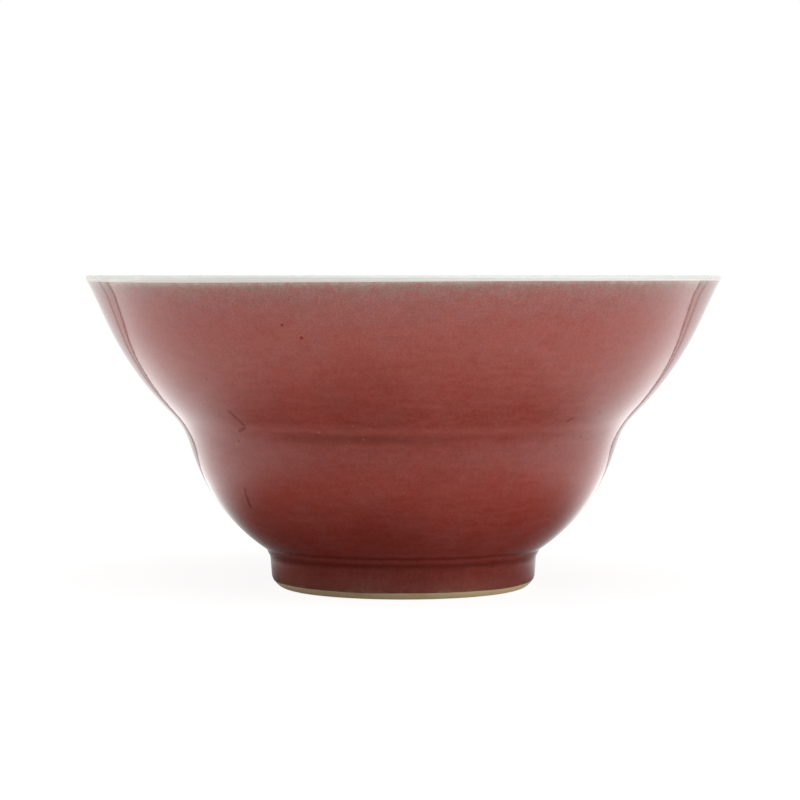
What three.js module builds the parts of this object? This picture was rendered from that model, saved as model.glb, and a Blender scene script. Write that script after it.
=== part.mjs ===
import * as THREE from "three";

// A waisted porcelain bowl with a copper-red coat outside and a white glaze inside.
// Millimetres, +Z up, the foot stands on z = 0 and the bowl's axis is Z.
// A heading is the direction of a profile in degrees from straight up, positive towards the outside.

// The outside, from the foot up. Each curve leaves the one before it without a corner.
const FOOT_CONTACT_RADIUS = 34.75; // outer edge of the flat band that touches the table
const FOOT_CONTACT_WIDTH = 1.0;
const FOOT_EDGE_RADIUS = 4.5; // the foot ring's rounded outer edge
const FOOT_SIDE_HEADING = 4.5;
const FOOT_SIDE_LENGTH = 4.3;
const FOOT_FILLET_RADIUS = 5.2; // the hollow where the foot meets the wall
const BELLY_BASE_HEADING = 55.2;
const BELLY_RADIUS = 54.5; // the lower bulge of the wall
const WAIST_LOW_HEADING = 14.5;
const WAIST_RADIUS = 16.5; // the hollow between the two bulges
const WAIST_HIGH_HEADING = 46.5;
const BULGE_RADIUS = 90.3; // the upper bulge
const FLARE_HEADING = 24.9;
const FLARE_LENGTH = 13.65; // the straight part under the white band
const LIP_BAND_DROP = 0.45; // how far the white band runs down the straight part
const LIP_THICKNESS = 1.7; // over both coats, rounded as a half circle
const LIP_SEAM_HEADING = -5; // where the inner glaze meets the band, on the lip's outer round

// The inside.
const BELLY_WALL = 3.6; // over both coats, from the waist down
const FLOOR_THICKNESS = 4.5;
const FLOOR_CORNER_RADIUS = 30;

// The underside, inside the foot ring.
const RECESS_DEPTH = 8.5;
const RECESS_EDGE_RADIUS = 1.3; // the foot ring's inner edge
const RECESS_WALL_HEADING = -6;
const RECESS_CORNER_RADIUS = 2.5;

// The coats.
const GLAZE_LINE_HEADING = 32; // the red coat ends on the foot's round edge, at this heading
const RED_COAT = 0.5; // where it is full
const RED_COAT_END = 0.3; // at the glaze line and under the lip
const RED_COAT_RAMP = 12; // the length over which it thins out below the lip
const RED_COAT_FOOT_RAMP = 4;
const WHITE_COAT = 0.3;
const BASE_GLAZE_START = 1.2; // how far up the recess wall the base glaze begins
const COAT_CLEARANCE = 0.05; // between a coat and the clay, and between two coats

const ROUND_STEPS = 48; // facets round the axis

// A station is a point of a profile, the unit normal that points into the open air, and the length
// walked so far. A walk lays stations along straight lines and arcs.
const rad = THREE.MathUtils.degToRad;

class Walk {
  constructor(r, z, heading, airSide) {
    this.r = r;
    this.z = z;
    this.heading = heading;
    this.airSide = airSide; // 1 with the open air on the right hand, -1 on the left
    this.length = 0;
  }

  station() {
    const a = rad(this.heading);
    return {
      r: this.r,
      z: this.z,
      nr: this.airSide * Math.cos(a),
      nz: -this.airSide * Math.sin(a),
      s: this.length,
    };
  }

  line(length, steps = 1) {
    const stations = [this.station()];
    const a = rad(this.heading);
    for (let i = 0; i < steps; i++) {
      this.r += (length / steps) * Math.sin(a);
      this.z += (length / steps) * Math.cos(a);
      this.length += length / steps;
      stations.push(this.station());
    }
    return stations;
  }

  arc(radius, endHeading, steps) {
    const stations = [this.station()];
    const turn = (endHeading - this.heading) / steps;
    const side = Math.sign(turn);
    for (let i = 0; i < steps; i++) {
      const before = rad(this.heading);
      const after = rad(this.heading + turn);
      this.r += side * radius * (Math.cos(before) - Math.cos(after));
      this.z += side * radius * (Math.sin(after) - Math.sin(before));
      this.heading += turn;
      this.length += radius * Math.abs(after - before);
      stations.push(this.station());
    }
    return stations;
  }
}

// Joins station lists that share their end points.
function join(...lists) {
  return lists.reduce((all, list) => all.concat(all.length ? list.slice(1) : list), []);
}

// Moves each station into the wall by depth, a number or a function of the station.
function inset(stations, depth) {
  return stations.map((p) => {
    const d = typeof depth === "function" ? depth(p) : depth;
    return { ...p, r: Math.max(0, p.r - p.nr * d), z: p.z - p.nz * d };
  });
}

// Turns a closed outline, walked with the open air on its right hand, into a solid of revolution.
function turned(name, outline, color, roughness) {
  const points = outline.map((p) => new THREE.Vector2(p.r, p.z));
  const geometry = new THREE.LatheGeometry(points, ROUND_STEPS).rotateX(Math.PI / 2);
  const material = new THREE.MeshStandardMaterial({ color, roughness, metalness: 0 });
  const mesh = new THREE.Mesh(geometry, material);
  mesh.name = name;
  return mesh;
}

// A coat's outline, its open surface and then its hidden side. A ring's outline closes on itself,
// and a coat that covers the middle starts and ends on the axis.
function ringOutline(stations, thickness) {
  return [...stations, ...inset(stations, thickness).reverse(), stations[0]];
}

function liningOutline(stations, thickness) {
  return [...inset(stations, thickness).reverse(), ...stations];
}

// The outside, walked up from the table.
const up = new Walk(FOOT_CONTACT_RADIUS, 0, 90, 1);
const bareEdge = up.arc(FOOT_EDGE_RADIUS, GLAZE_LINE_HEADING, 3);
const footOutside = join(
  up.arc(FOOT_EDGE_RADIUS, FOOT_SIDE_HEADING, 2),
  up.line(FOOT_SIDE_LENGTH),
  up.arc(FOOT_FILLET_RADIUS, BELLY_BASE_HEADING, 4),
);
const bellyCentre = {
  r: up.r - BELLY_RADIUS * Math.cos(rad(BELLY_BASE_HEADING)),
  z: up.z + BELLY_RADIUS * Math.sin(rad(BELLY_BASE_HEADING)),
};
const bellyOutside = up.arc(BELLY_RADIUS, WAIST_LOW_HEADING, 6);
const upperOutside = join(
  up.arc(WAIST_RADIUS, WAIST_HIGH_HEADING, 4),
  up.arc(BULGE_RADIUS, FLARE_HEADING, 5),
  up.line(FLARE_LENGTH, 2),
);
const lipSeamLow = up.line(COAT_CLEARANCE);
const lipRadius = LIP_THICKNESS / 2;
const seamTurn = THREE.MathUtils.radToDeg(COAT_CLEARANCE / lipRadius);
const bandStraight = up.line(LIP_BAND_DROP);
const lipFoot = bandStraight.at(-1); // the last station of the straight outside
const bandRound = up.arc(lipRadius, LIP_SEAM_HEADING, 2);
const lipSeamHigh = up.arc(lipRadius, LIP_SEAM_HEADING - seamTurn, 1);
const lipTop = up.arc(lipRadius, FLARE_HEADING - 180, 4);
const redSurface = join(footOutside, bellyOutside, upperOutside);
const bandSurface = join(bandStraight, bandRound);

// The inside follows the outside at the wall's thickness down to the waist, then runs round the
// belly and turns through one arc into the flat floor.
const waistLow = upperOutside[0];
const wallThickness = (p) => {
  const share = (lipFoot.s - p.s) / (lipFoot.s - waistLow.s);
  return THREE.MathUtils.lerp(LIP_THICKNESS, BELLY_WALL, THREE.MathUtils.smoothstep(share, 0, 1));
};
const facingIn = (stations) =>
  inset(stations, wallThickness)
    .reverse()
    .map((p) => ({ ...p, nr: -p.nr, nz: -p.nz }));
const upperInside = facingIn([...upperOutside.slice(0, -1), lipFoot]);

const floorZ = RECESS_DEPTH + FLOOR_THICKNESS;
const bellyInsideRadius = BELLY_RADIUS - BELLY_WALL;
const cornerReach = bellyInsideRadius - FLOOR_CORNER_RADIUS;
const cornerDrop = bellyCentre.z - (floorZ + FLOOR_CORNER_RADIUS);
const cornerR = bellyCentre.r + Math.sqrt(cornerReach ** 2 - cornerDrop ** 2);
const cornerHeading = THREE.MathUtils.radToDeg(Math.asin(cornerDrop / cornerReach));
const down = new Walk(upperInside.at(-1).r, upperInside.at(-1).z, WAIST_LOW_HEADING - 180, 1);
const lowerInside = join(
  down.arc(bellyInsideRadius, cornerHeading - 180, 4),
  down.arc(FLOOR_CORNER_RADIUS, -90, 5),
  down.line(cornerR),
);
const insideSurface = join(lipTop, upperInside, lowerInside);

// The underside, walked in from the contact band to the axis.
const under = new Walk(FOOT_CONTACT_RADIUS - FOOT_CONTACT_WIDTH, 0, -90, -1);
const recessEdge = under.arc(RECESS_EDGE_RADIUS, RECESS_WALL_HEADING, 3);
const recessTurn = 1 - Math.sin(rad(-RECESS_WALL_HEADING));
const recessWallHeight =
  RECESS_DEPTH - (RECESS_EDGE_RADIUS + RECESS_CORNER_RADIUS) * recessTurn;
const recessWallLength = recessWallHeight / Math.cos(rad(RECESS_WALL_HEADING));
const bareRecess = under.line(BASE_GLAZE_START);
const baseSurface = join(
  under.line(recessWallLength - BASE_GLAZE_START),
  under.arc(RECESS_CORNER_RADIUS, -90, 3),
  under.line(under.r),
);

// How deep the clay lies under the open surface.
const redThickness = (p) => {
  const top = redSurface.at(-1).s;
  const start = redSurface[0].s;
  const nearest = Math.min((top - p.s) / RED_COAT_RAMP, (p.s - start) / RED_COAT_FOOT_RAMP);
  const share = THREE.MathUtils.smoothstep(nearest, 0, 1);
  return THREE.MathUtils.lerp(RED_COAT_END, RED_COAT, share);
};
const underRed = (p) => redThickness(p) + COAT_CLEARANCE;
const underWhite = WHITE_COAT + COAT_CLEARANCE;
const underBareEdge = (p) => (p.s / bareEdge.at(-1).s) * (RED_COAT_END + COAT_CLEARANCE);
const underBareRecess = (p) =>
  ((p.s - recessEdge.at(-1).s) / BASE_GLAZE_START) * underWhite;

const bodyOutline = [
  ...inset(baseSurface, underWhite).reverse(),
  ...inset(bareRecess, underBareRecess).reverse().slice(1),
  ...recessEdge.toReversed().slice(1),
  ...inset(bareEdge, underBareEdge),
  ...inset(redSurface, underRed).slice(1),
  ...inset(join(lipSeamLow, bandSurface, lipSeamHigh), underWhite).slice(1),
  ...inset(insideSurface, underWhite).slice(1),
];

const bowl = new THREE.Group();
bowl.name = "copper_red_bowl";
bowl.add(
  turned("porcelain_body", bodyOutline, 0xcbb696, 0.75),
  turned("copper_red_glaze", ringOutline(redSurface, redThickness), 0x7c3430, 0.12),
  turned("lip_glaze", ringOutline(bandSurface, WHITE_COAT), 0xe3dace, 0.15),
  turned("inner_glaze", liningOutline(insideSurface, WHITE_COAT), 0xe6e8e2, 0.12),
  turned("base_glaze", liningOutline(baseSurface, WHITE_COAT).reverse(), 0xe2e4de, 0.15),
);

export default bowl;
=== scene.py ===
"""A waisted porcelain bowl with a copper-red glaze outside, standing on a white studio table.

Metres, +Z up, the foot stands on z = 0 and the bowl's axis is Z. A heading is the direction of a
profile in degrees from straight up, positive towards the outside."""

import math

import bmesh
import bpy
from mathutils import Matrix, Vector, noise


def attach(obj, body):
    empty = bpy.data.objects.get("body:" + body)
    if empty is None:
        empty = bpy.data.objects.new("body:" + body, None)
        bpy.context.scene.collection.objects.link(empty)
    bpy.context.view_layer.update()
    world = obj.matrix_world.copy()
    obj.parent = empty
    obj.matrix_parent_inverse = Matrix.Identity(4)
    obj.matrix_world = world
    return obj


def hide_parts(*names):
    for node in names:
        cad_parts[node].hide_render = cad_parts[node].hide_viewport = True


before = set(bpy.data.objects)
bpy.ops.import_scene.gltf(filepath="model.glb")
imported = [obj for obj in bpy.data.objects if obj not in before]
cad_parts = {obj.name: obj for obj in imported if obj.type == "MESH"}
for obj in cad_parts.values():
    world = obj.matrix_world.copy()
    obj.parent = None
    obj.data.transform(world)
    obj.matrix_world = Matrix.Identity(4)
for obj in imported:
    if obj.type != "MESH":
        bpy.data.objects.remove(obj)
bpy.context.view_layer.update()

MM = 0.001

# The outside profile, from the foot up, with the sizes of the CAD model.
FOOT_CONTACT_RADIUS = 34.75 * MM
FOOT_CONTACT_WIDTH = 1.0 * MM
FOOT_EDGE_RADIUS = 4.5 * MM
FOOT_SIDE_HEADING = 4.5
FOOT_SIDE_LENGTH = 4.3 * MM
FOOT_FILLET_RADIUS = 5.2 * MM
BELLY_BASE_HEADING = 55.2
BELLY_RADIUS = 54.5 * MM
WAIST_LOW_HEADING = 14.5
WAIST_RADIUS = 16.5 * MM
WAIST_HIGH_HEADING = 46.5
BULGE_RADIUS = 90.3 * MM
FLARE_HEADING = 24.9
FLARE_LENGTH = 13.65 * MM
LIP_BAND_DROP = 0.45 * MM
LIP_THICKNESS = 1.7 * MM
LIP_SEAM_HEADING = -5

# The inside and the underside.
BELLY_WALL = 3.6 * MM
FLOOR_THICKNESS = 4.5 * MM
FLOOR_CORNER_RADIUS = 30 * MM
RECESS_DEPTH = 8.5 * MM
RECESS_EDGE_RADIUS = 1.3 * MM
RECESS_WALL_HEADING = -6
RECESS_CORNER_RADIUS = 2.5 * MM

# The coats lie on the clay with a gap too thin to see, and meet each other edge to edge.
GLAZE_LINE_HEADING = 32  # where the red coat begins on the foot's round edge
BASE_GLAZE_START = 1.2 * MM  # how far up the recess wall the base glaze begins
RED_COAT = 0.5 * MM  # where it is full
RED_COAT_UNDER_LIP = 0.3 * MM
RED_COAT_RAMP = 12 * MM  # the length over which it thins out below the lip
RED_COAT_AT_FOOT = 0.12 * MM
RED_COAT_FOOT_RAMP = 4 * MM
WHITE_COAT = 0.3 * MM
COAT_GAP = 0.03 * MM
RED_ROLL = 0.5 * MM  # how far back from its edge the red coat rounds down to the clay
BASE_ROLL = 0.7 * RED_ROLL

# The coats' edges wander round the bowl in waves: reach in millimetres, how many go round, and phase.
GLAZE_LINE_WAVES = [(0.12, 1, math.pi / 2), (0.16, 2, 0.7), (0.1, 5, 2.1), (0.05, 11, 0.0)]
BAND_LINE_WAVES = [(-0.3, 2, 0.0), (0.03, 4, 1.3), (0.02, 9, 0.0)]
BAND_LINE_DROP = 0.16 * MM
BASE_LINE_WAVES = [(0.2, 3, 1.0)]

# The wall's curves run gently into each other between these two heights.
SOFT_FOOT = 25 * MM
SOFT_TOP = 88 * MM
SOFT_EASE = 6 * MM
SOFT_REACH = 2.5 * MM

# The rim turns out a little more than the CAD model's straight flare, between these heights.
RIM_TURN = 4.5  # degrees
RIM_TURN_START = 87 * MM
RIM_TURN_FULL = 91 * MM
RIM_TURN_END = 92 * MM

# The glaze pools in the hollow above the foot, with a ridge and a groove this far below its upper
# end. Elsewhere its surface swells and sinks in patches that are wider than they are high.
HOLLOW_RIDGE = 2.4 * MM
HOLLOW_GROOVE = 1.1 * MM
HOLLOW_RIPPLE = 0.09 * MM
HOLLOW_WIDTH = 0.55 * MM
SWELL_SIZE = 11 * MM
SWELL_DEPTH = 0.02 * MM
SWELL_SQUASH = 1.6
# Both fade out towards the coat's edges, over these lengths.
FADE_AT_FOOT = 3 * MM
FADE_AT_BAND = 2 * MM

# How finely the meshes are divided.
ROUND_STEPS = 288
STEP = 0.8 * MM  # the longest step along a profile
FINE_STEP = 0.35 * MM  # over the foot and its hollow
FINE_PAST_HOLLOW = 2 * MM
ROLL_STEPS = 6
BAND_STEPS = 12
BASE_STEPS = 60
# The red coat's even steps keep this far from its two wandering edges.
ROOM_AT_FOOT = 1.2 * MM
ROOM_AT_BAND = 1.6 * MM

# The camera, as the photograph's perspective gives it: level with the lip and tilted down.
CAMERA_DISTANCE = 0.832
CAMERA_HEIGHT = 0.09275
CAMERA_TILT = 2.556
CAMERA_YAW = 0.067
CAMERA_LENS = 125.86
SENSOR_WIDTH = 36

# The white table ends a little way behind the bowl, and past a dim gap stands the white backdrop.
# Both show in the glaze.
TABLE_BACK = 0.202
TABLE_SLANT = 0.022  # how much farther back its edge runs for each metre to the right
TABLE_FRONT = -1.2
TABLE_HALF_WIDTH = 0.9
TABLE_DROP = 0.05 * MM
TABLE_STRIP = 14 * MM  # the dark strip along its back edge
BACKDROP_DISTANCE = 0.55
BACKDROP_FOOT = -0.08
BACKDROP_DIM = 0.022  # the height of the dim line along its foot
BACKDROP_TOP = 1.2
BACKDROP_HALF_WIDTH = 1.6

# The softboxes, with place, size and power. Each faces the middle of the bowl.
SOFTBOXES = [
    ("front_softbox", (0.1, -0.65, 1.1), 1.7, 9.5),
    ("right_softbox", (1.0, -0.4, 0.5), 1.4, 6.0),
    ("left_softbox", (-1.0, 0.2, 0.4), 1.2, 4.3),
    ("top_softbox", (0, 0, 1.2), 0.9, 2.6),
]
BOWL_MIDDLE = (0, 0, 0.05)


class Walk:
    """Lays points along straight lines and arcs. Each is (r, z, heading, length walked)."""

    def __init__(self, r, z, heading):
        self.r, self.z, self.heading, self.length = r, z, heading, 0.0
        self.points = [(r, z, heading, 0.0)]

    def line(self, length):
        steps = max(1, math.ceil(length / STEP))
        a = math.radians(self.heading)
        for _ in range(steps):
            self.r += length / steps * math.sin(a)
            self.z += length / steps * math.cos(a)
            self.length += length / steps
            self.points.append((self.r, self.z, self.heading, self.length))
        return self.length

    def arc(self, radius, end_heading, least_steps=4):
        turned = abs(math.radians(end_heading - self.heading))
        steps = max(least_steps, math.ceil(radius * turned / STEP))
        turn = (end_heading - self.heading) / steps
        side = math.copysign(1, turn)
        for _ in range(steps):
            a, b = math.radians(self.heading), math.radians(self.heading + turn)
            self.r += side * radius * (math.cos(a) - math.cos(b))
            self.z += side * radius * (math.sin(b) - math.sin(a))
            self.heading += turn
            self.length += radius * abs(b - a)
            self.points.append((self.r, self.z, self.heading, self.length))
        return self.length


class Profile:
    """A walked profile that can be asked for the point at any length, set back into the wall.

    The open air is on its right hand where air_side is 1, and on its left where it is -1."""

    def __init__(self, points, air_side):
        self.points, self.air_side = points, air_side
        self.lengths = [p[3] for p in points]
        self.end = self.lengths[-1]

    def around(self, s):
        """The two points that s lies between, and how far along it is from the first."""
        lo, hi = 0, len(self.points) - 1
        while hi - lo > 1:
            middle = (lo + hi) // 2
            if self.lengths[middle] <= s:
                lo = middle
            else:
                hi = middle
        p, q = self.points[lo], self.points[hi]
        return p, q, (s - p[3]) / (q[3] - p[3]) if q[3] > p[3] else 0.0

    def heading(self, s):
        p, q, share = self.around(s)
        return p[2] + min(1.0, max(0.0, share)) * (q[2] - p[2])

    def at(self, s, depth=0.0):
        """(r, z) of the point s along the profile, depth below the open surface.

        Between two points it follows a cubic that keeps to their headings."""
        p, q, t = self.around(s)
        span = q[3] - p[3]
        a, b = math.radians(p[2]), math.radians(q[2])
        near, leave, arrive = t * t * (3 - 2 * t), span * t * (1 - t) ** 2, -span * t * t * (1 - t)
        r = p[0] + near * (q[0] - p[0]) + leave * math.sin(a) + arrive * math.sin(b)
        z = p[1] + near * (q[1] - p[1]) + leave * math.cos(a) + arrive * math.cos(b)
        c = a + t * (b - a)
        out_r, out_z = self.air_side * math.cos(c), -self.air_side * math.sin(c)
        return max(0.0, r - depth * out_r), z - depth * out_z

    def between(self, start, end):
        """The lengths of the profile's own points from start to end, both ends included."""
        inner = [s for s in self.lengths if start + STEP / 4 < s < end - STEP / 4]
        return [start, *inner, end]


def smooth(x):
    """A smooth step from 0 to 1."""
    x = min(1.0, max(0.0, x))
    return x * x * (3 - 2 * x)


def softened(exact):
    """The outside with the wall's curves run into each other, and its top where it was."""
    reach = [i * SOFT_REACH / 4 for i in range(-12, 13)]
    weights = [math.exp(-((x / SOFT_REACH) ** 2) / 2) for x in reach]
    headings = []
    for _, z, heading, s in exact.points:
        mean = sum(w * exact.heading(s + x) for w, x in zip(weights, reach)) / sum(weights)
        share = smooth((z - SOFT_FOOT) / SOFT_EASE) * smooth((SOFT_TOP - z) / SOFT_EASE)
        turn = smooth((z - RIM_TURN_START) / (RIM_TURN_FULL - RIM_TURN_START))
        turn *= smooth((RIM_TURN_END - z) / (RIM_TURN_END - RIM_TURN_FULL))
        headings.append(heading + share * (mean - heading) + RIM_TURN * turn)
    # What the new headings add up to, point by point.
    moved = [(0.0, 0.0)]
    for i in range(1, len(headings)):
        p, q = exact.points[i - 1], exact.points[i]
        old = math.radians((p[2] + q[2]) / 2)
        new = math.radians((headings[i - 1] + headings[i]) / 2)
        step = q[3] - p[3]
        moved.append((
            moved[-1][0] + step * (math.sin(new) - math.sin(old)),
            moved[-1][1] + step * (math.cos(new) - math.cos(old)),
        ))
    over_r, over_z = moved[-1]
    points = []
    for (r, z, _, s), heading, (move_r, move_z) in zip(exact.points, headings, moved):
        share = smooth((z - SOFT_FOOT) / (SOFT_TOP - SOFT_FOOT))
        points.append((r + move_r - share * over_r, z + move_z - share * over_z, heading, s))
    return Profile(points, 1)


def outside_profile():
    """The open surface from the contact band to the top of the lip, with its named lengths."""
    walk = Walk(FOOT_CONTACT_RADIUS, 0.0, 90)
    marks = {"glaze_line": walk.arc(FOOT_EDGE_RADIUS, GLAZE_LINE_HEADING)}
    walk.arc(FOOT_EDGE_RADIUS, FOOT_SIDE_HEADING)
    walk.line(FOOT_SIDE_LENGTH)
    marks["fillet_end"] = walk.arc(FOOT_FILLET_RADIUS, BELLY_BASE_HEADING, least_steps=12)
    base = math.radians(BELLY_BASE_HEADING)
    marks["belly_centre"] = (
        walk.r - BELLY_RADIUS * math.cos(base),
        walk.z + BELLY_RADIUS * math.sin(base),
    )
    marks["waist_low"] = walk.arc(BELLY_RADIUS, WAIST_LOW_HEADING)
    walk.arc(WAIST_RADIUS, WAIST_HIGH_HEADING, least_steps=16)
    walk.arc(BULGE_RADIUS, FLARE_HEADING)
    marks["band_foot"] = walk.line(FLARE_LENGTH)
    marks["lip_foot"] = walk.line(LIP_BAND_DROP)
    marks["lip_seam"] = walk.arc(LIP_THICKNESS / 2, LIP_SEAM_HEADING, least_steps=8)
    return softened(Profile(walk.points, 1)), marks


outside, marks = outside_profile()


def wall_thickness(s):
    """The wall's thickness over both coats, at the length s of the outside."""
    share = (marks["lip_foot"] - s) / (marks["lip_foot"] - marks["waist_low"])
    return LIP_THICKNESS + (BELLY_WALL - LIP_THICKNESS) * smooth(share)


def inside_profile():
    """The open surface from the lip's seam over the top, down the inside and in to the axis."""
    walk = Walk(*outside.at(marks["lip_seam"]), LIP_SEAM_HEADING)
    walk.arc(LIP_THICKNESS / 2, FLARE_HEADING - 180, least_steps=12)
    # Down to the waist it follows the outside at the wall's thickness.
    lengths = outside.between(marks["waist_low"], marks["lip_foot"])[:-1]
    for s in reversed(lengths):
        r, z = outside.at(s, wall_thickness(s))
        r_above, z_above = outside.at(s + STEP / 4, wall_thickness(s + STEP / 4))
        walk.length += math.hypot(r - walk.r, z - walk.z)
        walk.r, walk.z = r, z
        walk.heading = math.degrees(math.atan2(r - r_above, z - z_above))
        walk.heading -= 360 if walk.heading > 0 else 0
        walk.points.append((r, z, walk.heading, walk.length))
    # Below it, round the belly and through one arc into the flat floor.
    walk.heading = WAIST_LOW_HEADING - 180
    radius = BELLY_RADIUS - BELLY_WALL
    reach = radius - FLOOR_CORNER_RADIUS
    drop = marks["belly_centre"][1] - (RECESS_DEPTH + FLOOR_THICKNESS + FLOOR_CORNER_RADIUS)
    walk.arc(radius, math.degrees(math.asin(drop / reach)) - 180)
    walk.arc(FLOOR_CORNER_RADIUS, -90)
    walk.line(walk.r)
    return Profile(walk.points, 1)


def underside_profile():
    """The open surface from the contact band's inner edge, up the recess and in to the axis."""
    walk = Walk(FOOT_CONTACT_RADIUS - FOOT_CONTACT_WIDTH, 0.0, -90)
    wall_start = walk.arc(RECESS_EDGE_RADIUS, RECESS_WALL_HEADING, least_steps=6)
    turn = 1 - math.sin(math.radians(-RECESS_WALL_HEADING))
    height = RECESS_DEPTH - (RECESS_EDGE_RADIUS + RECESS_CORNER_RADIUS) * turn
    walk.line(height / math.cos(math.radians(RECESS_WALL_HEADING)))
    walk.arc(RECESS_CORNER_RADIUS, -90, least_steps=8)
    walk.line(walk.r)
    return Profile(walk.points, -1), wall_start


inside = inside_profile()
underside, recess_wall_start = underside_profile()


def wander(angle, waves):
    """How far an edge lies from its even place, by the sum of its waves."""
    return sum(reach * math.sin(count * angle + phase) for reach, count, phase in waves) * MM


def glaze_line(angle):
    """The length along the outside at which the red coat begins."""
    return marks["glaze_line"] + wander(angle, GLAZE_LINE_WAVES)


def band_line(angle):
    """The length along the outside at which the white band begins."""
    return marks["band_foot"] - BAND_LINE_DROP + wander(angle, BAND_LINE_WAVES)


def base_line(angle):
    """The length along the underside at which the base glaze begins."""
    return recess_wall_start + BASE_GLAZE_START + wander(angle, BASE_LINE_WAVES)


def swell(r, z, angle):
    """How far the red coat's surface stands off its even shape."""
    point = Vector((r * math.cos(angle), r * math.sin(angle), z * SWELL_SQUASH)) / SWELL_SIZE
    return SWELL_DEPTH * noise.noise(point, noise_basis="PERLIN_ORIGINAL")


def ripple(s):
    """How far the glaze stands up or sinks in the hollow above the foot."""
    below = marks["fillet_end"] - s
    ridge = math.exp(-(((below - HOLLOW_RIDGE) / HOLLOW_WIDTH) ** 2))
    groove = math.exp(-(((below - HOLLOW_GROOVE) / HOLLOW_WIDTH) ** 2))
    return HOLLOW_RIPPLE * (ridge - groove)


def red_depth(s):
    """Thickness of the red coat at the length s, apart from the roll at its lower edge."""
    top = smooth((marks["band_foot"] - s) / RED_COAT_RAMP)
    foot = smooth((s - marks["glaze_line"]) / RED_COAT_FOOT_RAMP)
    under_lip = RED_COAT_UNDER_LIP + (RED_COAT - RED_COAT_UNDER_LIP) * top
    at_foot = RED_COAT_AT_FOOT + (RED_COAT - RED_COAT_AT_FOOT) * foot
    return min(under_lip, at_foot)


def rolled(s, edge, roll, thickness):
    """How far a coat lies below its even surface where its edge rounds down to the clay."""
    back = min(1.0, (s - edge) / roll)
    return thickness * (1 - math.sqrt(1 - (1 - back) ** 2))


def roll_lengths(edge, roll):
    """Lengths from a coat's edge to where its roll ends, closest together at the edge."""
    return [edge + roll * (i / ROLL_STEPS) ** 2 for i in range(ROLL_STEPS + 1)]


def even_lengths(start, end, steps):
    """Lengths from start to end in equal steps, both ends included."""
    return [start + (end - start) * i / steps for i in range(steps + 1)]


def red_lengths():
    """The lengths of the red coat's even steps, close together over the foot and its hollow."""
    lengths = [marks["glaze_line"] + ROOM_AT_FOOT]
    while lengths[-1] < marks["band_foot"] - ROOM_AT_BAND:
        close = lengths[-1] < marks["fillet_end"] + FINE_PAST_HOLLOW
        lengths.append(lengths[-1] + (FINE_STEP if close else STEP))
    return lengths


def sparse(lengths):
    """Every second length, both ends included, for a surface that a coat hides."""
    return [*lengths[:-1:2], lengths[-1]]


def turned_mesh(column):
    """A closed solid of revolution from column(angle), a list of (r, z) and the places of its corners.

    A column that starts and ends on the axis gets a centre vertex at each end, and any other one
    closes on itself."""
    mesh = bmesh.new()
    turns = [math.tau * j / ROUND_STEPS for j in range(ROUND_STEPS)]
    columns = [column(turn) for turn in turns]
    rings, corners = [points for points, _ in columns], columns[0][1]
    on_axis = rings[0][0][0] < 0.01 * MM
    count = len(rings[0])
    body = range(1, count - 1) if on_axis else range(count)
    verts = []
    for turn, ring in zip(turns, rings):
        across, along = math.cos(turn), math.sin(turn)
        places = [(r * across, r * along, z) for r, z in ring]
        verts.append({i: mesh.verts.new(places[i]) for i in body})
    sides = list(zip(verts, verts[1:] + verts[:1]))
    pairs = [(i, i + 1) for i in body[:-1]]
    if not on_axis:
        pairs.append((count - 1, 0))
    for here, beside in sides:
        for i, k in pairs:
            mesh.faces.new((here[i], beside[i], beside[k], here[k]))
    if on_axis:
        for end, first in ((0, 1), (count - 1, count - 2)):
            z = sum(ring[end][1] for ring in rings) / ROUND_STEPS
            centre = mesh.verts.new((0, 0, z))
            for here, beside in sides:
                a, b = here[first], beside[first]
                mesh.faces.new((centre, b, a) if end == 0 else (centre, a, b))
    mesh.normal_update()
    for face in mesh.faces:
        face.smooth = True
    for here, beside in sides:
        for i in corners:
            mesh.edges.get((here[i], beside[i])).smooth = False
    bmesh.ops.recalc_face_normals(mesh, faces=mesh.faces)
    return mesh


def added(name, data):
    """A new object of the scene that holds the data."""
    made = bpy.data.objects.new(name, data)
    bpy.context.scene.collection.objects.link(made)
    return made


def lathe(name, column, material, replaced):
    """Turns a column into a piece of the bowl, in the place of a CAD solid."""
    mesh = turned_mesh(column)
    data = bpy.data.meshes.new(name)
    mesh.to_mesh(data)
    mesh.free()
    data.materials.append(material)
    piece = added(name, data)
    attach(piece, "root")
    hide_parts(replaced)


def srgb(red, green, blue):
    """A colour written as a screen shows it, 0 to 255, as the linear colour that nodes take."""
    parts = [c / 255 for c in (red, green, blue)]
    return tuple(c / 12.92 if c <= 0.04045 else ((c + 0.055) / 1.055) ** 2.4 for c in parts) + (1.0,)


NOISE_SPAN = (0.3, 0.7)  # most of a noise's values lie in it


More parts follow.
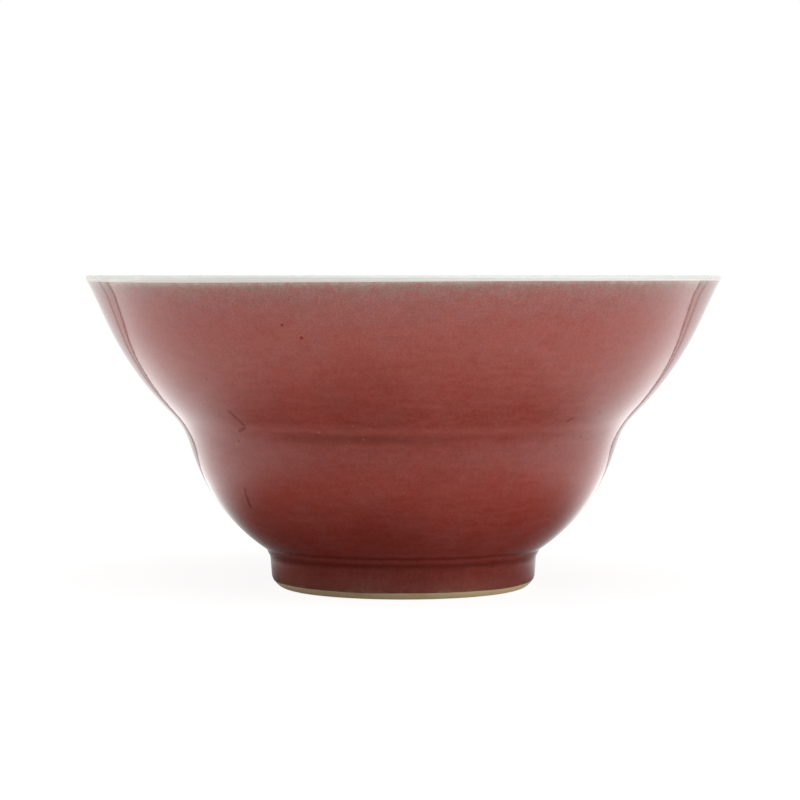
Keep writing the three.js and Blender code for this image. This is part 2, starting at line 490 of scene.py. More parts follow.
class Tree:
    """A node tree with a short call for each kind of node that the materials use."""

    def __init__(self, owner):
        owner.use_nodes = True
        self.tree = owner.node_tree
        self.tree.nodes.clear()

    def node(self, kind, inputs, **settings):
        """A new node. Each input is a value, or the socket that it is linked from."""
        made = self.tree.nodes.new("ShaderNode" + kind)
        for key, value in settings.items():
            setattr(made, key, value)
        for key, value in inputs.items():
            if isinstance(value, bpy.types.NodeSocket):
                self.tree.links.new(value, made.inputs[key])
            else:
                made.inputs[key].default_value = value
        return made

    def math(self, operation, a, b=0.0, clamp=False):
        return self.node("Math", {0: a, 1: b}, operation=operation, use_clamp=clamp).outputs[0]

    def plus(self, a, b):
        return self.math("ADD", a, b)

    def minus(self, a, b):
        return self.math("SUBTRACT", a, b)

    def times(self, *factors):
        product = factors[0]
        for factor in factors[1:]:
            product = self.math("MULTIPLY", product, factor)
        return product

    def largest(self, values):
        top = values[0]
        for value in values[1:]:
            top = self.math("MAXIMUM", top, value)
        return top

    def vector(self, operation, a, b=(0, 0, 0)):
        made = self.node("VectorMath", {0: a, 1: b}, operation=operation)
        is_number = operation in ("LENGTH", "DISTANCE", "DOT_PRODUCT")
        return made.outputs["Value" if is_number else "Vector"]

    def scaled(self, vector, factors):
        return self.vector("MULTIPLY", vector, factors)

    def split(self, vector):
        """The vector's X, Y and Z."""
        return self.node("SeparateXYZ", {0: vector}).outputs

    def noise(self, vector, size, detail=2.0, roughness=0.5, output="Fac"):
        """Noise from 0 to 1 with features of the size given in metres."""
        inputs = {"Vector": vector, "Scale": 1 / size, "Detail": detail, "Roughness": roughness}
        return self.node("TexNoise", inputs).outputs[output]

    def spread(self, value, low, high, to_low=0.0, to_high=1.0):
        """value from low to high as a smooth step from to_low to to_high."""
        inputs = {"Value": value, "From Min": low, "From Max": high, "To Min": to_low, "To Max": to_high}
        return self.node("MapRange", inputs, interpolation_type="SMOOTHSTEP").outputs["Result"]

    def fall(self, value, low, high):
        """1 where value is under low, and 0 where it is over high."""
        return self.spread(value, low, high, 1.0, 0.0)

    def band(self, value, middle, half_width):
        """1 where value is at middle, falling to 0 at half_width from it."""
        return self.fall(self.math("ABSOLUTE", self.minus(value, middle)), 0.0, half_width)

    def spot(self, point, middle, radius):
        """1 at middle, falling to 0 at the radius."""
        return self.fall(self.vector("DISTANCE", point, middle), 0.4 * radius, radius)

    def stroke(self, point, start, end, radius):
        """1 along the line from start to end, falling to 0 at the radius beside it."""
        along = end - start
        from_start = self.vector("SUBTRACT", point, start)
        reach = self.vector("DOT_PRODUCT", from_start, along)
        share = self.math("DIVIDE", reach, along.length_squared, clamp=True)
        nearest = self.node("VectorMath", {0: along, "Scale": share}, operation="SCALE").outputs[0]
        return self.fall(self.vector("DISTANCE", from_start, nearest), 0.3 * radius, radius)

    def between(self, share, low, high):
        """From low where the share is 0 to high where it is 1."""
        return self.plus(low, self.times(share, high - low))

    def mix(self, share, a, b):
        """Value a where the share is 0, and value b where it is 1."""
        return self.node("Mix", {0: share, 2: a, 3: b}).outputs[0]

    def mix_shader(self, share, a, b):
        return self.node("MixShader", {0: share, 1: a, 2: b}).outputs[0]

    def tint(self, colour, mask, strength, tint):
        """Lays a tint over the colour, strongest where the mask is 1 and none where it is 0."""
        inputs = {0: self.times(mask, strength), 6: colour, 7: srgb(*tint)}
        return self.node("Mix", inputs, data_type="RGBA").outputs[2]

    def ramp(self, value, stops):
        """A colour ramp through stops, each (place from 0 to 1, linear colour)."""
        made = self.node("ValToRGB", {"Fac": value})
        elements = made.color_ramp.elements
        while len(elements) < len(stops):
            elements.new(1.0)
        for element, (place, colour) in zip(elements, stops):
            element.position, element.color = place, colour
        return made.outputs["Color"]

    def bump(self, height, distance):
        return self.node("Bump", {"Height": height, "Distance": distance}).outputs["Normal"]

    def emission(self, strength):
        return self.node("Emission", {"Strength": strength}).outputs[0]

    def surface(self, shader, kind="OutputMaterial"):
        self.node(kind, {"Surface": shader})

    def ceramic(self, colour, roughness, normal):
        """Ends the tree in a fired surface."""
        inputs = {"Base Color": colour, "Roughness": roughness, "IOR": 1.5, "Normal": normal}
        self.surface(self.node("BsdfPrincipled", inputs).outputs[0])


def place(tree):
    """The point on the bowl in metres, and its X, Y and Z."""
    point = tree.node("TexCoord", {}).outputs["Object"]
    return point, tree.split(point)


# The copper-red glaze from the foot to the lip: height in millimetres, and colour as a screen shows it.
RED_TOP = 92 * MM
RED_COLOURS = [
    (1.8, (184, 142, 122)),
    (3.2, (166, 96, 84)),
    (7.0, (147, 67, 58)),
    (9.5, (140, 56, 47)),
    (13.5, (152, 56, 47)),
    (20.0, (142, 51, 41)),
    (34.0, (152, 65, 55)),
    (43.0, (143, 71, 64)),
    (54.0, (133, 59, 51)),
    (68.0, (143, 73, 64)),
    (79.0, (146, 81, 74)),
    (86.0, (144, 96, 91)),
    (89.0, (143, 111, 105)),
    (89.9, (140, 119, 112)),
    (90.7, (148, 140, 133)),
    (91.3, (180, 165, 155)),
]
# How much lower its thin pale top hangs, least and most, as the white band's edge wanders.
RED_LEAN = (0.2 * MM, 0.85 * MM)
# Its colours wander up and down by this much in patches of this size, less near the lip.
BROAD_WANDER, BROAD_PATCH = 1.0 * MM, 22 * MM
CLOSE_WANDER, CLOSE_PATCH = 0.3 * MM, 4 * MM
STEADY_AT_LIP = (78 * MM, 90 * MM, 1.0, 0.12)

# The mottling, layer on layer: the noise's size in millimetres, its detail, the span of it that
# counts, strength, and tint. The grain's noise is finer.
GREY_CLOUDS = (9, 2.0, (0.3, 0.75), 0.14, (146, 104, 104))
BROWN_PATCHES = (2.4, 3.0, (0.35, 0.7), 0.26, (138, 50, 34))
LEVEL_STREAKS = (1.4, 3.0, (0.35, 0.7), 0.2, (176, 92, 86))
PALE_SPECKLE = (1.1, 2.0, NOISE_SPAN, 0.2, (166, 92, 82))
FOOT_STREAKS = (0.8, 2.0, (0.35, 0.75), 0.2, (108, 54, 42))
GRAIN_SIZE = 0.45 * MM
DARK_GRAIN, GRAIN_STRENGTH = (110, 44, 36), 0.34
DRAWN_SIDEWAYS = (0.2, 0.2, 1)
DRAWN_DOWN = (1, 1, 0.12)
FOOT_STREAKS_TOP = (9 * MM, 12 * MM)  # the heights between which they fade out

# Level bands of painted shade and painted highlight: height and half width in millimetres, strength, and
# tint.
# In the hollow above the foot: painted shade, where the glaze also pools.
POOL_AND_SHADE_ABOVE = (12.3, 0.9, 0.55, (92, 30, 24))
POOL_AND_SHADE_BELOW = (9.9, 1.5, 0.5, (86, 26, 20))
# A painted highlight along the waist, and a line of painted shade under it.
WAIST_PAINTED_HIGHLIGHT = (50.0, 1.9, 0.07, (200, 130, 120))
WAIST_PAINTED_SHADE = (47.5, 2.0, 0.4, (92, 48, 44))
# Along X, the waist's painted shade comes in on the left and gets paler to the right.
WAIST_SHADE_START = (-0.04, -0.026)
WAIST_SHADE_PALER = (-0.012, 0.03, 1.0, 0.3)
RED_ROUGHNESS = (0.06, 0.1)
RED_WAVES, RED_WAVE_DEPTH = 2.2 * MM, 0.006 * MM

# Marks of the fired glaze, and broad places of painted shade. An angle is in degrees from the front
# towards +X, and heights and radii are in millimetres. A stroke has two ends (angle, height) and a
# radius, and each other mark has an angle, a height and a radius.
DARK_STROKES = [
    ((-42.9, 54.6), (-41.2, 51.0), 0.95),
    ((-41.4, 50.1), (-43.9, 49.0), 0.8),
    ((-49.9, 31.9), (-50.7, 29.3), 0.8),
    ((-50.7, 29.3), (-51.4, 26.8), 1.05),
    ((42.0, 52.0), (43.0, 52.7), 0.7),
]
DARK_SPECKS = [
    (-21.7, 79.4, 0.55),
    (-18.5, 75.9, 0.62),
    (-43.7, 64.0, 0.6),
    (-37.3, 59.1, 0.5),
    (-43.9, 58.0, 0.5),
    (-50.2, 57.7, 0.55),
    (-46.0, 46.0, 0.6),
    (-46.6, 39.7, 0.5),
    (-56.0, 34.2, 0.6),
    (51.3, 54.2, 0.8),
    (50.5, 47.0, 0.7),
    (42.2, 44.8, 0.5),
]
# Broad darker places at the front, painted shade.
FRONT_SHADE_PATCHES = [
    (-8.0, 57.0, 20),
    (-5.0, 21.0, 15),
]
PALE_PINHOLES = [
    (-11.6, 51.5, 0.36),
    (-20.4, 49.6, 0.42),
    (-13.3, 46.8, 0.35),
    (-9.6, 47.5, 0.35),
]
DARK_MARK, DARK_STRENGTH = (104, 12, 6), 0.74
# The tint and strength of the painted shade at the front.
FRONT_SHADE_TINT, FRONT_SHADE_STRENGTH = (96, 36, 28), 0.16
PALE_MARK, PALE_STRENGTH = (214, 168, 160), 0.26
RAGGED = 0.8 * MM  # how ragged the edges of the small marks are


def on_wall(angle, height):
    """The point of the outside at an angle in degrees from the front, and a height in millimetres."""
    near = min(outside.points, key=lambda p: abs(p[1] - height * MM))
    a = math.radians(angle)
    return Vector((near[0] * math.sin(a), -near[0] * math.cos(a), height * MM))


def spots(tree, point, places):
    return [tree.spot(point, on_wall(angle, z), radius * MM) for angle, z, radius in places]


def small_marks(tree, point, colour):
    """Lays the small dark marks and the pale pinholes over the colour."""
    rough = tree.noise(point, RAGGED, detail=1.0, output="Color")
    shift = tree.scaled(tree.vector("SUBTRACT", rough, (0.5, 0.5, 0.5)), (RAGGED,) * 3)
    ragged = tree.vector("ADD", point, shift)
    strokes = [tree.stroke(ragged, on_wall(*a), on_wall(*b), r * MM) for a, b, r in DARK_STROKES]
    dark = tree.largest(strokes + spots(tree, ragged, DARK_SPECKS))
    pale = tree.largest(spots(tree, ragged, PALE_PINHOLES))
    colour = tree.tint(colour, dark, DARK_STRENGTH, DARK_MARK)
    return tree.tint(colour, pale, PALE_STRENGTH, PALE_MARK)


def mottled(tree, point, colour, layer, mask=1.0):
    """Lays one layer of the mottling over the colour, where the mask lets it."""
    size, detail, span, strength, tint = layer
    patches = tree.spread(tree.noise(point, size * MM, detail), *span)
    return tree.tint(colour, tree.times(patches, mask), strength, tint)


def level_band(tree, colour, height, band, mask=1.0):
    """Lays a level band over the colour, where the mask lets it."""
    middle, half_width, strength, tint = band
    shown = tree.times(tree.band(height, middle * MM, half_width * MM), mask)
    return tree.tint(colour, shown, strength, tint)


def copper_red_material():
    material = bpy.data.materials.new("copper_red_glaze")
    tree = Tree(material)
    point, parts = place(tree)
    height = parts["Z"]
    # The coat ran and pooled unevenly.
    broad = tree.spread(tree.noise(point, BROAD_PATCH), *NOISE_SPAN, -BROAD_WANDER, BROAD_WANDER)
    close = tree.spread(tree.noise(point, CLOSE_PATCH), *NOISE_SPAN, -CLOSE_WANDER, CLOSE_WANDER)
    steady = tree.spread(height, *STEADY_AT_LIP)
    level = tree.plus(height, tree.times(tree.plus(broad, close), steady))
    most = RED_TOP**2 / 2  # of X times Y, at the lip and halfway between the axes
    lean = tree.spread(tree.times(parts["X"], parts["Y"]), -most, most, *RED_LEAN)
    share = tree.math("DIVIDE", tree.plus(level, lean), RED_TOP)
    colour = tree.ramp(share, [(z * MM / RED_TOP, srgb(*c)) for z, c in RED_COLOURS])
    # Broad clouds of greyer glaze, small ones that turn it browner, level streaks, and a fine grain.
    colour = mottled(tree, point, colour, GREY_CLOUDS)
    colour = mottled(tree, point, colour, BROWN_PATCHES)
    colour = mottled(tree, tree.scaled(point, DRAWN_SIDEWAYS), colour, LEVEL_STREAKS)
    colour = mottled(tree, point, colour, PALE_SPECKLE)
    grain = tree.spread(tree.noise(point, GRAIN_SIZE, roughness=0.6), *NOISE_SPAN)
    colour = tree.tint(colour, grain, GRAIN_STRENGTH, DARK_GRAIN)
    # Painted shade in the hollow above the foot, where the glaze also pools: two darker level bands,
    # with a thin pale line left between.
    banded_height = tree.plus(height, tree.times(close, 0.4))
    colour = level_band(tree, colour, banded_height, POOL_AND_SHADE_ABOVE)
    colour = level_band(tree, colour, banded_height, POOL_AND_SHADE_BELOW)
    # Painted light at the waist: a faint painted highlight along it and a line of painted shade under
    # it, deepest left of the front.
    colour = level_band(tree, colour, banded_height, WAIST_PAINTED_HIGHLIGHT)
    from_left = tree.spread(parts["X"], *WAIST_SHADE_START)
    to_right = tree.spread(parts["X"], *WAIST_SHADE_PALER)
    colour = level_band(tree, colour, banded_height, WAIST_PAINTED_SHADE, tree.times(from_left, to_right))
    # Painted shade in a few broad darker places at the front, and fine streaks that run down the foot.
    front_shade = tree.largest(spots(tree, point, FRONT_SHADE_PATCHES))
    colour = tree.tint(colour, front_shade, FRONT_SHADE_STRENGTH, FRONT_SHADE_TINT)
    on_foot = tree.fall(height, *FOOT_STREAKS_TOP)
    colour = mottled(tree, tree.scaled(point, DRAWN_DOWN), colour, FOOT_STREAKS, on_foot)
    colour = small_marks(tree, point, colour)
    waves = tree.bump(tree.noise(point, RED_WAVES), RED_WAVE_DEPTH)
    tree.ceramic(colour, tree.between(grain, *RED_ROUGHNESS), waves)
    return material


# The white glaze of the inside and the recess, its cloudy tint, and the heights between which it is
# greyer with painted shade below the rim, whiter with painted light along the top of the lip, and
# bluer and darker towards the floor.
WHITE_GLAZE, WHITE_CLOUDS = (232, 235, 231), (225, 230, 227)
WHITE_CLOUD_SIZE, WHITE_CLOUD_STRENGTH = 12 * MM, 0.5
RIM_SHADE, RIM_SHADE_TINT = (89 * MM, 91.5 * MM), (224, 225, 220)
LIP_TOP_LIGHT, LIP_TOP_LIGHT_TINT = (92.3 * MM, 92.7 * MM), (250, 250, 248)
TOWARDS_FLOOR, TOWARDS_FLOOR_TINT = (12 * MM, 40 * MM), (206, 216, 214)
TOWARDS_FLOOR_STRENGTH = 0.55
# Small brown specks, by the distance from one of them as a share of their spacing.
SPECK_SPACING, SPECK_TINT = 9 * MM, (150, 128, 104)
SPECK_EDGE, SPECK_STRENGTH = (0.02, 0.045), 0.7
# Wear dulls it at the rim, where it is also more even.
WHITE_ROUGHNESS = (0.06, 0.1)
RIM_WEAR = (89 * MM, 92 * MM, 0.0, 0.2)
WHITE_WAVES, WHITE_WAVE_DEPTH = 2.6 * MM, 0.008 * MM
EVEN_RIM = (88 * MM, 91.5 * MM, 1.0, 0.1)


def white_glaze_material():
    material = bpy.data.materials.new("white_glaze")
    tree = Tree(material)
    point, parts = place(tree)
    height = parts["Z"]
    clouds = tree.spread(tree.noise(point, WHITE_CLOUD_SIZE, detail=3.0), *NOISE_SPAN)
    colour = tree.tint(srgb(*WHITE_GLAZE), clouds, WHITE_CLOUD_STRENGTH, WHITE_CLOUDS)
    # Painted shade just below the rim, and painted light along the top of the lip.
    colour = tree.tint(colour, tree.spread(height, *RIM_SHADE), 1.0, RIM_SHADE_TINT)
    colour = tree.tint(colour, tree.spread(height, *LIP_TOP_LIGHT), 1.0, LIP_TOP_LIGHT_TINT)
    # Bluer and darker towards the floor.
    colour = tree.tint(colour, tree.fall(height, *TOWARDS_FLOOR), TOWARDS_FLOOR_STRENGTH, TOWARDS_FLOOR_TINT)
    specks = tree.node("TexVoronoi", {"Vector": point, "Scale": 1 / SPECK_SPACING})
    speck = tree.fall(specks.outputs["Distance"], *SPECK_EDGE)
    colour = tree.tint(colour, speck, SPECK_STRENGTH, SPECK_TINT)
    roughness = tree.plus(tree.between(clouds, *WHITE_ROUGHNESS), tree.spread(height, *RIM_WEAR))
    waves = tree.times(tree.noise(point, WHITE_WAVES), tree.spread(height, *EVEN_RIM))
    tree.ceramic(colour, roughness, tree.bump(waves, WHITE_WAVE_DEPTH))
    return material


# The lip's white band, its cloudy tint, and the heights below which it is thinner and warmer, and darker
# as painted shade.
LIP_GLAZE, LIP_CLOUDS = (217, 216, 211), (212, 210, 204)
LIP_CLOUD_SIZE = 5 * MM
WARM_SHADED, WARM_SHADED_STRENGTH, WARM_SHADED_TINT = (91.1 * MM, 91.8 * MM), 0.85, (203, 195, 188)
WARMER_SHADED, WARMER_SHADED_STRENGTH, WARMER_SHADED_TINT = (91.05 * MM, 91.5 * MM), 0.5, (200, 188, 178)
LIP_ROUGHNESS = (0.16, 0.24)
LIP_WAVES, LIP_WAVE_DEPTH = 1.6 * MM, 0.004 * MM


def lip_glaze_material():
    material = bpy.data.materials.new("lip_glaze")
    tree = Tree(material)
    point, parts = place(tree)
    height = parts["Z"]
    clouds = tree.spread(tree.noise(point, LIP_CLOUD_SIZE, detail=3.0), *NOISE_SPAN)
    colour = tree.tint(srgb(*LIP_GLAZE), clouds, 1.0, LIP_CLOUDS)
    # Warmer where it thins towards the band's foot, and darker there as painted shade.
    colour = tree.tint(colour, tree.fall(height, *WARM_SHADED), WARM_SHADED_STRENGTH, WARM_SHADED_TINT)
    colour = tree.tint(colour, tree.fall(height, *WARMER_SHADED), WARMER_SHADED_STRENGTH, WARMER_SHADED_TINT)
    waves = tree.bump(tree.noise(point, LIP_WAVES), LIP_WAVE_DEPTH)
    tree.ceramic(colour, tree.between(clouds, *LIP_ROUGHNESS), waves)
    return material


# The bare clay, its stains and grain, and the heights below which it is yellower, and darker where
# it meets the table, as painted shade.
CLAY, CLAY_STAINS, CLAY_GRAIN = (250, 220, 180), (240, 204, 156), (150, 120, 88)
STAIN_SIZE, STAIN_SPAN = 5 * MM, (0.35, 0.7)
CLAY_GRAIN_SIZE, CLAY_GRAIN_SPAN, CLAY_GRAIN_STRENGTH = 0.35 * MM, (0.35, 0.75), 0.2
YELLOWER, YELLOWER_STRENGTH, YELLOWER_TINT = (0.7 * MM, 1.5 * MM), 0.5, (246, 214, 138)
CONTACT_SHADE, CONTACT_SHADE_STRENGTH, CONTACT_SHADE_TINT = (0.1 * MM, 0.45 * MM), 0.45, (96, 78, 54)
CLAY_ROUGHNESS = (0.62, 0.8)
CLAY_GRAIN_DEPTH = 0.03 * MM


def porcelain_material():
    material = bpy.data.materials.new("bare_porcelain")
    tree = Tree(material)
    point, parts = place(tree)
    height = parts["Z"]
    stains = tree.spread(tree.noise(point, STAIN_SIZE, detail=4.0, roughness=0.6), *STAIN_SPAN)
    colour = tree.tint(srgb(*CLAY), stains, 1.0, CLAY_STAINS)
    colour = tree.tint(colour, tree.fall(height, *YELLOWER), YELLOWER_STRENGTH, YELLOWER_TINT)
    # Painted shade along the edge where the foot meets the table.
    colour = tree.tint(colour, tree.fall(height, *CONTACT_SHADE), CONTACT_SHADE_STRENGTH, CONTACT_SHADE_TINT)
    grain = tree.noise(point, CLAY_GRAIN_SIZE, detail=3.0, roughness=0.6)
    grainy = tree.spread(grain, *CLAY_GRAIN_SPAN)
    colour = tree.tint(colour, grainy, CLAY_GRAIN_STRENGTH, CLAY_GRAIN)
    roughness = tree.spread(grain, *NOISE_SPAN, *CLAY_ROUGHNESS)
    tree.ceramic(colour, roughness, tree.bump(grain, CLAY_GRAIN_DEPTH))
    return material


def copper_red_glaze():
    """The outer coat: full on the wall, rolled down to the clay at the foot, square under the band."""
    middle = red_lengths()

    def column(angle):
        low, high = glaze_line(angle), band_line(angle) - COAT_GAP
        lengths = roll_lengths(low, RED_ROLL) + middle + [(middle[-1] + high) / 2, high]
        surface = []
        for s in lengths:
            inward = smooth((s - low) / FADE_AT_FOOT) * smooth((high - s) / FADE_AT_BAND)
            raised = inward * (swell(*outside.at(s), angle) + ripple(s))
            surface.append(outside.at(s, rolled(s, low, RED_ROLL, red_depth(s)) - raised))
        hidden = [outside.at(s, red_depth(s)) for s in lengths[:0:-1]]
        return surface + hidden, [len(surface) - 1, len(surface)]

    material = copper_red_material()
    lathe("copper_red_glaze_coat", column, material, "copper_red_glaze")


def lip_band():
    """The white band under the lip, between the red coat and the inner glaze."""

    def column(angle):
        lengths = even_lengths(band_line(angle), marks["lip_seam"] - COAT_GAP, BAND_STEPS)
        surface = [outside.at(s) for s in lengths]
        hidden = [outside.at(s, WHITE_COAT) for s in reversed(lengths)]
        return surface + hidden, [0, BAND_STEPS, BAND_STEPS + 1, 2 * BAND_STEPS + 1]

    lathe("lip_band", column, lip_glaze_material(), "lip_glaze")


def inner_coat(material):
    """The lining of the inside, over the top of the lip to the band's seam."""
    surface = [inside.at(s) for s in inside.lengths]
    hidden = [inside.at(s, WHITE_COAT) for s in sparse(inside.lengths)]
    points, corners = hidden[::-1] + surface, [len(hidden) - 1, len(hidden)]
    lathe("inner_glaze_coat", lambda angle: (points, corners), material, "inner_glaze")


def base_coat(material):
    """The glaze in the recess, rolled down to the clay at its edge."""

    def column(angle):
        low = base_line(angle)
        lengths = roll_lengths(low, BASE_ROLL)[:-1]
        lengths += even_lengths(low + BASE_ROLL, underside.end, BASE_STEPS)
        surface = [underside.at(s, rolled(s, low, BASE_ROLL, WHITE_COAT)) for s in reversed(lengths)]
        hidden = [underside.at(s, WHITE_COAT) for s in lengths[1:]]
        return surface + hidden, []

    lathe("base_glaze_coat", column, material, "base_glaze")


def porcelain():
    """The clay: open on the foot's edge and the lower recess, and under the coats everywhere else."""
    under_white, under_red_edge = WHITE_COAT + COAT_GAP, RED_COAT_AT_FOOT + COAT_GAP
    middle, down = sparse(red_lengths()), sparse(inside.lengths)

    def column(angle):
        points, edge = [], base_line(angle)
        for s in reversed(underside.between(edge, underside.end)):
            points.append(underside.at(s, under_white))
        for s in reversed(underside.between(recess_wall_start, edge)[:-1]):
            rise = (s - recess_wall_start) / (edge - recess_wall_start)
            points.append(underside.at(s, under_white * smooth(rise)))
        for s in reversed(underside.between(0.0, recess_wall_start)[:-1]):
            points.append(underside.at(s))
        line, top = glaze_line(angle), band_line(angle)
        bare = even_lengths(0.0, line, BAND_STEPS)
        points += [outside.at(s, under_red_edge * smooth(s / line)) for s in bare]
        points += [outside.at(s, red_depth(s) + COAT_GAP) for s in [*middle, top]]
        under_band = even_lengths(top, marks["lip_seam"], BAND_STEPS)[1:]
        points += [outside.at(s, under_white) for s in under_band]
        points += [inside.at(s, under_white) for s in down[1:]]
        return points, []

    lathe("porcelain_clay", column, porcelain_material(), "porcelain_body")


# How brightly the table shows in the glaze: from and to along one axis, and the level at each.
GLOW_TO_BACK = (-0.150, 0.156, 0.23, 1.83)
GLOW_TO_LEFT = (-0.235, -0.14, 0.84, 1.08)
GLOW_TO_RIGHT = (0.14, 0.25, 1.0, 0.84)
# The bowl's shadow there is longer behind it than in front, and paler there, most so on the right.
SHADOW_MIDDLE = -0.023
SHADOW_IN_FRONT = 0.83  # how much of a step towards the camera counts
SHADOW_BEHIND = 0.38
SHADOW_EDGE = (0.06, 0.12)
PALE_TO_BACK = (-0.035, 0.06, 0.0, 0.42)
PALE_TO_RIGHT = (-0.06, 0.06, 0.7, 1.3)
# Right behind the bowl and far out to the sides it fades into the gap, without the dark strip.
FADE_TO_BACK = (0.09, 0.19, 1.0, 0.5)
STRIP_INNER = (0.075, 0.1)
STRIP_OUTER = (0.28, 0.34)

# How brightly the table lights the bowl: dark under it and in two rings round it, a touch brighter
# to the sides, and dimmer in one place at the front left.
UNDER_TO_RIGHT = (-0.055, 0.055, 0.2, 0.42)
NEAR_RING = (0.045, 0.112)
NEAR_LEVEL = 0.86
FAR_RING = (0.115, 0.2, 0.0, 0.83)
LIGHT_TO_RIGHT = (-0.02, 0.1, 1.0, 1.06)
LIGHT_TO_SIDES = (0.06, 0.12, 1.0, 1.08)
DIM_PLACE = (-0.045, -0.07, 0)
DIM_RADIUS = 0.085
DIM_SHARE = 0.27

# What the camera sees of the table: white, with a share that takes the bowl's shadow.
TABLE_WHITE = 1.24
TABLE_SHADED = 0.28

BACKDROP_LEVELS = (0.3, 1.0)  # in the dim line along its foot, and above it
WORLD_BELOW = (-0.4, -0.27, 0.8, 0.95)  # by how far down the direction points


def stage_sheet(name, corners, material):
    data = bpy.data.meshes.new(name)
    data.from_pydata(corners, [], [(0, 1, 2, 3)])
    data.materials.append(material)
    sheet = added(name, data)
    return sheet


def table_glow(tree, x, y):
    """How brightly the lit table shows in the glaze, point by point."""
    to_back = tree.spread(y, *GLOW_TO_BACK)
    to_left, to_right = tree.spread(x, *GLOW_TO_LEFT), tree.spread(x, *GLOW_TO_RIGHT)
    past = tree.minus(y, SHADOW_MIDDLE)
    along = tree.math("MINIMUM", tree.times(past, SHADOW_IN_FRONT), tree.times(past, SHADOW_BEHIND))
    flat = tree.node("CombineXYZ", {0: x, 1: along}).outputs[0]
    shadow = tree.times(tree.spread(y, *PALE_TO_BACK), tree.spread(x, *PALE_TO_RIGHT))
    out_of_shadow = tree.spread(tree.vector("LENGTH", flat), *SHADOW_EDGE, shadow, 1.0)
    along_edge = tree.minus(y, tree.times(x, TABLE_SLANT))
    strip = tree.fall(along_edge, TABLE_BACK - TABLE_STRIP, TABLE_BACK - TABLE_STRIP + MM)
    aside = tree.math("ABSOLUTE", x)
    plain = tree.plus(tree.fall(aside, *STRIP_INNER), tree.spread(aside, *STRIP_OUTER))
    ending = tree.mix(plain, strip, tree.spread(y, *FADE_TO_BACK))
    return tree.times(to_back, to_left, to_right, out_of_shadow, ending)


def table_light(tree, x, y):
    """How brightly the table lights the bowl, point by point."""
    flat = tree.node("CombineXYZ", {0: x, 1: y}).outputs[0]
    from_axis = tree.vector("LENGTH", flat)
    near = tree.spread(from_axis, *NEAR_RING, tree.spread(x, *UNDER_TO_RIGHT), NEAR_LEVEL)
    ring = tree.plus(near, tree.spread(from_axis, *FAR_RING))
    to_right = tree.spread(x, *LIGHT_TO_RIGHT)
    to_sides = tree.spread(tree.math("ABSOLUTE", x), *LIGHT_TO_SIDES)
    dim = tree.minus(1.0, tree.times(tree.spot(flat, DIM_PLACE, DIM_RADIUS), DIM_SHARE))
    return tree.times(ring, to_right, to_sides, dim)


def world_place(tree):
    """The X, Y and Z of the point in the scene."""
    return tree.split(tree.node("NewGeometry", {}).outputs["Position"])


def table_material():
    """White to the camera with a faint shadow, a pool of light in the glaze, and soft light below."""
    material = bpy.data.materials.new("table")
    material.cycles.emission_sampling = "NONE"
    tree = Tree(material)
    rays = tree.node("LightPath", {}).outputs
    x, y, _ = world_place(tree)
    diffuse = tree.node("BsdfDiffuse", {"Color": srgb(240, 240, 238)}).outputs[0]
    to_camera = tree.mix_shader(TABLE_SHADED, tree.emission(TABLE_WHITE), diffuse)
    glow, light = tree.emission(table_glow(tree, x, y)), tree.emission(table_light(tree, x, y))
    unseen = tree.mix_shader(rays["Is Glossy Ray"], light, glow)
    tree.surface(tree.mix_shader(rays["Is Camera Ray"], unseen, to_camera))
    return material


def backdrop_material():
    """White, with a dim line along its foot."""
    material = bpy.data.materials.new("backdrop")
    tree = Tree(material)
    height = world_place(tree)["Z"]
    strength = tree.spread(height, BACKDROP_FOOT, BACKDROP_FOOT + BACKDROP_DIM, *BACKDROP_LEVELS)
    tree.surface(tree.emission(strength))
    return material


def table():
    """The white table, whose back edge slants a little."""
    w, z = TABLE_HALF_WIDTH, -TABLE_DROP
    left_back, right_back = TABLE_BACK - TABLE_SLANT * w, TABLE_BACK + TABLE_SLANT * w
    corners = [(-w, TABLE_FRONT, z), (w, TABLE_FRONT, z), (w, right_back, z), (-w, left_back, z)]
    stage_sheet("table", corners, table_material())


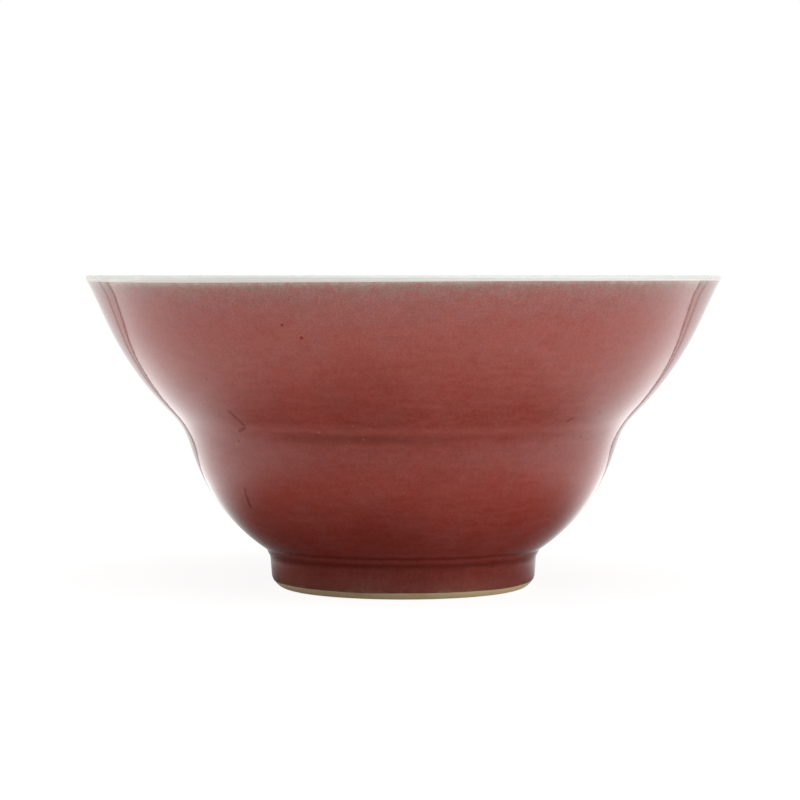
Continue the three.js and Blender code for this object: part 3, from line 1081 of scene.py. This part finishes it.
def backdrop():
    """Stands behind the table, where only the bowl's gloss sees it."""
    w, y, foot, top = BACKDROP_HALF_WIDTH, BACKDROP_DISTANCE, BACKDROP_FOOT, BACKDROP_TOP
    corners = [(-w, y, foot), (w, y, foot), (w, y, top), (-w, y, top)]
    sheet = stage_sheet("backdrop", corners, backdrop_material())
    sheet.visible_camera = sheet.visible_diffuse = sheet.visible_shadow = False


def studio_world():
    """White to the camera. Else only the bowl's gloss sees it, a little darker far below."""
    world = bpy.data.worlds.new("studio")
    bpy.context.scene.world = world
    tree = Tree(world)
    rays = tree.node("LightPath", {}).outputs
    direction = tree.split(tree.node("TexCoord", {}).outputs["Generated"])
    level = tree.spread(direction["Z"], *WORLD_BELOW)
    mirrored = tree.math("MAXIMUM", rays["Is Glossy Ray"], rays["Is Transmission Ray"])
    strength = tree.mix(rays["Is Camera Ray"], tree.mix(mirrored, 0.0, level), 1.0)
    white = {"Color": (1, 1, 1, 1), "Strength": strength}
    tree.surface(tree.node("Background", white).outputs[0], "OutputWorld")


def softbox(name, location, size, power):
    """A square light that faces the bowl."""
    light = bpy.data.lights.new(name, "AREA")
    light.shape, light.size, light.energy = "SQUARE", size, power
    lamp = added(name, light)
    lamp.location = location
    facing = Vector(BOWL_MIDDLE) - Vector(location)
    lamp.rotation_euler = facing.to_track_quat("-Z", "Y").to_euler()


def photograph_camera():
    data = bpy.data.cameras.new("camera")
    data.lens, data.sensor_width = CAMERA_LENS, SENSOR_WIDTH
    data.clip_start, data.clip_end = 0.05, 20
    camera = added("camera", data)
    camera.location = (0, -CAMERA_DISTANCE, CAMERA_HEIGHT)
    camera.rotation_euler = (math.radians(90 - CAMERA_TILT), 0, math.radians(CAMERA_YAW))
    bpy.context.scene.camera = camera


white_glaze = white_glaze_material()
porcelain()
copper_red_glaze()
lip_band()
inner_coat(white_glaze)
base_coat(white_glaze)
table()
backdrop()
studio_world()
for box in SOFTBOXES:
    softbox(*box)
photograph_camera()
bpy.context.scene.view_settings.view_transform = "Standard"
